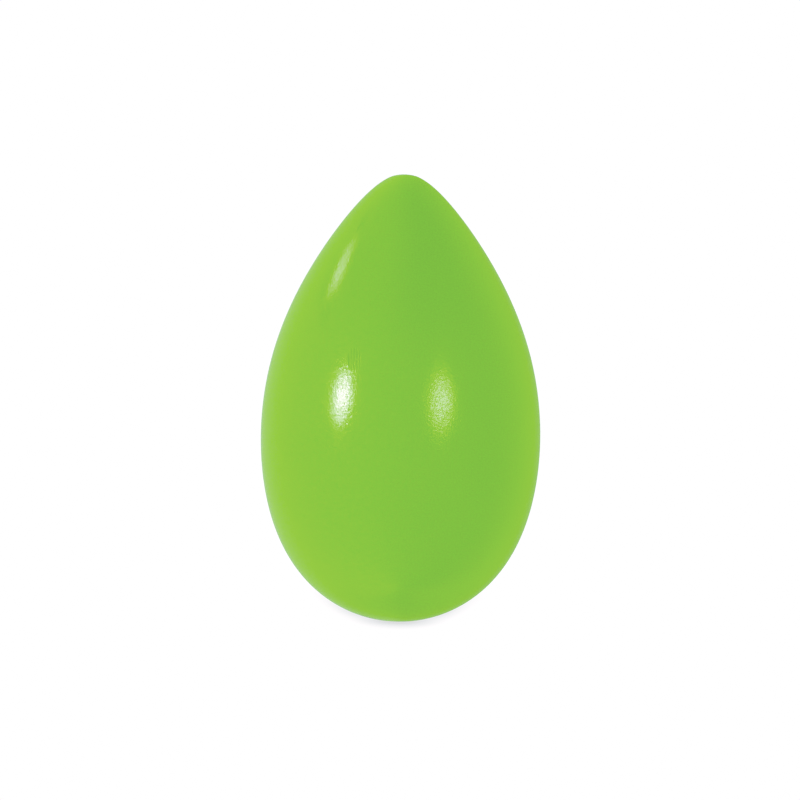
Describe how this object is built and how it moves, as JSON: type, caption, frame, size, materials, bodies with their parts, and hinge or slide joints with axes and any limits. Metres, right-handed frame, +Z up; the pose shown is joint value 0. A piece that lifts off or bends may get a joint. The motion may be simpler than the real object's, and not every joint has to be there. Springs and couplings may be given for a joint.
{
  "type": "egg shaker",
  "caption": "Egg-shaped hand percussion shaker: a glossy hollow plastic shell in two bonded halves, with loose steel shot sealed inside that strikes the wall when shaken.",
  "frame": {"origin": "centre of the small trimmed flat at the blunt end, on which the egg stands", "axes": "+Z up along the egg's axis of revolution, from the blunt end to the pointed tip; X and Y are any two square directions across it"},
  "size_m": [0.042, 0.042, 0.067],
  "materials": {
    "shell_plastic": "glossy lime green moulded ABS with a very fine pebbled texture",
    "steel_shot": "tumbled bright steel ball"
  },
  "bodies": {
    "shell": {"lower_shell": "shell_plastic", "upper_shell": "shell_plastic"},
    "shot_01": {"shot_01": "steel_shot"},
    "shot_02": {"shot_02": "steel_shot"},
    "shot_03": {"shot_03": "steel_shot"},
    "shot_04": {"shot_04": "steel_shot"},
    "shot_05": {"shot_05": "steel_shot"},
    "shot_06": {"shot_06": "steel_shot"},
    "shot_07": {"shot_07": "steel_shot"},
    "shot_08": {"shot_08": "steel_shot"},
    "shot_09": {"shot_09": "steel_shot"},
    "shot_10": {"shot_10": "steel_shot"},
    "shot_11": {"shot_11": "steel_shot"},
    "shot_12": {"shot_12": "steel_shot"},
    "shot_13": {"shot_13": "steel_shot"},
    "shot_14": {"shot_14": "steel_shot"},
    "shot_15": {"shot_15": "steel_shot"},
    "shot_16": {"shot_16": "steel_shot"},
    "shot_17": {"shot_17": "steel_shot"},
    "shot_18": {"shot_18": "steel_shot"},
    "shot_19": {"shot_19": "steel_shot"},
    "shot_20": {"shot_20": "steel_shot"},
    "shot_21": {"shot_21": "steel_shot"},
    "shot_22": {"shot_22": "steel_shot"},
    "shot_23": {"shot_23": "steel_shot"},
    "shot_24": {"shot_24": "steel_shot"},
    "shot_25": {"shot_25": "steel_shot"},
    "shot_26": {"shot_26": "steel_shot"},
    "shot_27": {"shot_27": "steel_shot"},
    "shot_28": {"shot_28": "steel_shot"},
    "shot_29": {"shot_29": "steel_shot"},
    "shot_30": {"shot_30": "steel_shot"},
    "shot_31": {"shot_31": "steel_shot"},
    "shot_32": {"shot_32": "steel_shot"},
    "shot_33": {"shot_33": "steel_shot"},
    "shot_34": {"shot_34": "steel_shot"},
    "shot_35": {"shot_35": "steel_shot"},
    "shot_36": {"shot_36": "steel_shot"},
    "shot_37": {"shot_37": "steel_shot"}
  },
  "joints": [
    {"name": "shot_01_throw", "type": "slide", "parent": "shell", "child": "shot_01", "axis": [0, 0, 1], "range_m": [0, 0.05948]},
    {"name": "shot_02_throw", "type": "slide", "parent": "shell", "child": "shot_02", "axis": [0, 0, 1], "range_m": [0, 0.05457]},
    {"name": "shot_03_throw", "type": "slide", "parent": "shell", "child": "shot_03", "axis": [0, 0, 1], "range_m": [0, 0.05457]},
    {"name": "shot_04_throw", "type": "slide", "parent": "shell", "child": "shot_04", "axis": [0, 0, 1], "range_m": [0, 0.05457]},
    {"name": "shot_05_throw", "type": "slide", "parent": "shell", "child": "shot_05", "axis": [0, 0, 1], "range_m": [0, 0.05457]},
    {"name": "shot_06_throw", "type": "slide", "parent": "shell", "child": "shot_06", "axis": [0, 0, 1], "range_m": [0, 0.05457]},
    {"name": "shot_07_throw", "type": "slide", "parent": "shell", "child": "shot_07", "axis": [0, 0, 1], "range_m": [0, 0.05457]},
    {"name": "shot_08_throw", "type": "slide", "parent": "shell", "child": "shot_08", "axis": [0, 0, 1], "range_m": [0, 0.04808]},
    {"name": "shot_09_throw", "type": "slide", "parent": "shell", "child": "shot_09", "axis": [0, 0, 1], "range_m": [0, 0.0451]},
    {"name": "shot_10_throw", "type": "slide", "parent": "shell", "child": "shot_10", "axis": [0, 0, 1], "range_m": [0, 0.04808]},
    {"name": "shot_11_throw", "type": "slide", "parent": "shell", "child": "shot_11", "axis": [0, 0, 1], "range_m": [0, 0.0451]},
    {"name": "shot_12_throw", "type": "slide", "parent": "shell", "child": "shot_12", "axis": [0, 0, 1], "range_m": [0, 0.04808]},
    {"name": "shot_13_throw", "type": "slide", "parent": "shell", "child": "shot_13", "axis": [0, 0, 1], "range_m": [0, 0.0451]},
    {"name": "shot_14_throw", "type": "slide", "parent": "shell", "child": "shot_14", "axis": [0, 0, 1], "range_m": [0, 0.04808]},
    {"name": "shot_15_throw", "type": "slide", "parent": "shell", "child": "shot_15", "axis": [0, 0, 1], "range_m": [0, 0.0451]},
    {"name": "shot_16_throw", "type": "slide", "parent": "shell", "child": "shot_16", "axis": [0, 0, 1], "range_m": [0, 0.04808]},
    {"name": "shot_17_throw", "type": "slide", "parent": "shell", "child": "shot_17", "axis": [0, 0, 1], "range_m": [0, 0.0451]},
    {"name": "shot_18_throw", "type": "slide", "parent": "shell", "child": "shot_18", "axis": [0, 0, 1], "range_m": [0, 0.04808]},
    {"name": "shot_19_throw", "type": "slide", "parent": "shell", "child": "shot_19", "axis": [0, 0, 1], "range_m": [0, 0.0451]},
    {"name": "shot_20_throw", "type": "slide", "parent": "shell", "child": "shot_20", "axis": [0, 0, 1], "range_m": [0, 0.03591]},
    {"name": "shot_21_throw", "type": "slide", "parent": "shell", "child": "shot_21", "axis": [0, 0, 1], "range_m": [0, 0.03591]},
    {"name": "shot_22_throw", "type": "slide", "parent": "shell", "child": "shot_22", "axis": [0, 0, 1], "range_m": [0, 0.02873]},
    {"name": "shot_23_throw", "type": "slide", "parent": "shell", "child": "shot_23", "axis": [0, 0, 1], "range_m": [0, 0.03591]},
    {"name": "shot_24_throw", "type": "slide", "parent": "shell", "child": "shot_24", "axis": [0, 0, 1], "range_m": [0, 0.03591]},
    {"name": "shot_25_throw", "type": "slide", "parent": "shell", "child": "shot_25", "axis": [0, 0, 1], "range_m": [0, 0.02873]},
    {"name": "shot_26_throw", "type": "slide", "parent": "shell", "child": "shot_26", "axis": [0, 0, 1], "range_m": [0, 0.03591]},
    {"name": "shot_27_throw", "type": "slide", "parent": "shell", "child": "shot_27", "axis": [0, 0, 1], "range_m": [0, 0.03591]},
    {"name": "shot_28_throw", "type": "slide", "parent": "shell", "child": "shot_28", "axis": [0, 0, 1], "range_m": [0, 0.02873]},
    {"name": "shot_29_throw", "type": "slide", "parent": "shell", "child": "shot_29", "axis": [0, 0, 1], "range_m": [0, 0.03591]},
    {"name": "shot_30_throw", "type": "slide", "parent": "shell", "child": "shot_30", "axis": [0, 0, 1], "range_m": [0, 0.03591]},
    {"name": "shot_31_throw", "type": "slide", "parent": "shell", "child": "shot_31", "axis": [0, 0, 1], "range_m": [0, 0.02873]},
    {"name": "shot_32_throw", "type": "slide", "parent": "shell", "child": "shot_32", "axis": [0, 0, 1], "range_m": [0, 0.03591]},
    {"name": "shot_33_throw", "type": "slide", "parent": "shell", "child": "shot_33", "axis": [0, 0, 1], "range_m": [0, 0.03591]},
    {"name": "shot_34_throw", "type": "slide", "parent": "shell", "child": "shot_34", "axis": [0, 0, 1], "range_m": [0, 0.02873]},
    {"name": "shot_35_throw", "type": "slide", "parent": "shell", "child": "shot_35", "axis": [0, 0, 1], "range_m": [0, 0.03591]},
    {"name": "shot_36_throw", "type": "slide", "parent": "shell", "child": "shot_36", "axis": [0, 0, 1], "range_m": [0, 0.03591]},
    {"name": "shot_37_throw", "type": "slide", "parent": "shell", "child": "shot_37", "axis": [0, 0, 1], "range_m": [0, 0.02873]}
  ]
}
